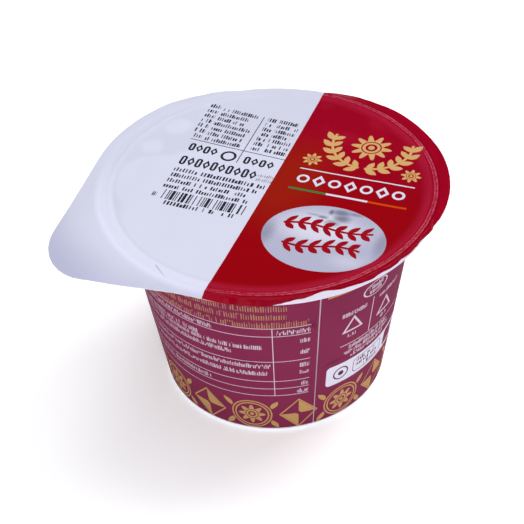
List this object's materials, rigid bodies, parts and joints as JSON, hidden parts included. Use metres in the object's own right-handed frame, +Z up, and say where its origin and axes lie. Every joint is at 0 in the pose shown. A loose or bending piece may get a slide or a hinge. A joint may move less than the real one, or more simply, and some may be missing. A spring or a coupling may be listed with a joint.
{
  "type": "shut burrata cheese tub",
  "caption": "Shut round plastic tub of burrata in brine: tapered pot with a wrap-around label, turned-down rim and heat-sealed film lid with a large corner pull tab.",
  "frame": {"origin": "centre of the pot's flat base, on the pot's axis", "axes": "+Z up along the pot's axis; the lid's pull tab points along -X; the label's seam faces -Y, slightly to -X"},
  "size_m": [0.1146, 0.0994, 0.0661],
  "materials": {
    "tub_plastic": "white moulded plastic, satin gloss",
    "label_print": "plum printed film label, satin, with gold and white print",
    "film_print": "glossy printed peel film, white on the tab's side and red on the other"
  },
  "bodies": {
    "root": {"tub": "tub_plastic", "label_wrap": "label_print", "film_lid": "film_print"}
  },
  "joints": []
}
